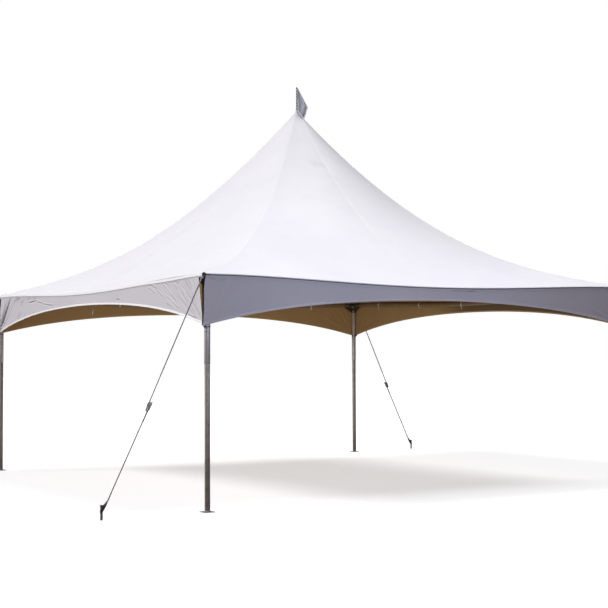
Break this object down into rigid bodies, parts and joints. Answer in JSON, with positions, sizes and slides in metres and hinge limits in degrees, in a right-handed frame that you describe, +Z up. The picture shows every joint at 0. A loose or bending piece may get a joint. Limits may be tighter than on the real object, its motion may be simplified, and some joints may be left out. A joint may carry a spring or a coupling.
{
  "type": "marquee tent",
  "caption": "Square high-peak frame marquee with a concave white top, arched valances, telescopic corner legs, a mast on crossing cables, guy straps and a small pennant.",
  "frame": {"origin": "centre of the plan, at ground level under the foot plates", "axes": "+Z up; -Y is the front and -X the left side; +X runs along the direction in which the guy straps are drawn out"},
  "size_m": [8.418, 6.16, 5.205],
  "materials": {
    "roof_fabric": "white vinyl-coated roof fabric, satin",
    "valance_fabric": "white vinyl-coated valance fabric, satin",
    "aluminium_tube": "mill finish, dulled",
    "fitting_steel": "dark grey, matt",
    "plate_steel": "weathered steel",
    "cable_steel": "galvanised wire rope",
    "cap_vinyl": "white vinyl",
    "pennant_cloth": "grey-blue woven cloth",
    "guy_webbing": "dark grey-brown polyester webbing"
  },
  "bodies": {
    "root": {"roof_panel_front": "roof_fabric", "roof_panel_right": "roof_fabric", "roof_panel_back": "roof_fabric", "roof_panel_left": "roof_fabric", "valance_front": "valance_fabric", "valance_right": "valance_fabric", "valance_back": "valance_fabric", "valance_left": "valance_fabric", "eave_tube_front": "aluminium_tube", "eave_tube_right": "aluminium_tube", "eave_tube_back": "aluminium_tube", "eave_tube_left": "aluminium_tube", "corner_fitting_front_left": "fitting_steel", "corner_fitting_front_right": "fitting_steel", "corner_fitting_back_left": "fitting_steel", "corner_fitting_back_right": "fitting_steel", "leg_upper_front_left": "aluminium_tube", "leg_upper_front_right": "aluminium_tube", "leg_upper_back_left": "aluminium_tube", "leg_upper_back_right": "aluminium_tube", "leg_lower_front_left": "aluminium_tube", "leg_lower_front_right": "aluminium_tube", "leg_lower_back_left": "aluminium_tube", "leg_lower_back_right": "aluminium_tube", "foot_plate_front_left": "plate_steel", "foot_plate_front_right": "plate_steel", "foot_plate_back_left": "plate_steel", "foot_plate_back_right": "plate_steel", "cross_cable_front_left": "cable_steel", "cross_cable_front_right": "cable_steel", "cross_cable_back_left": "cable_steel", "cross_cable_back_right": "cable_steel", "mast_foot": "fitting_steel", "mast_head": "fitting_steel", "mast": "aluminium_tube", "finial_pole": "aluminium_tube", "peak_cap": "cap_vinyl", "pennant": "pennant_cloth", "guy_strap_front_left": "guy_webbing", "guy_strap_front_right": "guy_webbing", "guy_strap_back_left": "guy_webbing", "guy_strap_back_right": "guy_webbing", "ground_stake_front_left": "plate_steel", "ground_stake_front_right": "plate_steel", "ground_stake_back_left": "plate_steel", "ground_stake_back_right": "plate_steel"}
  },
  "joints": []
}
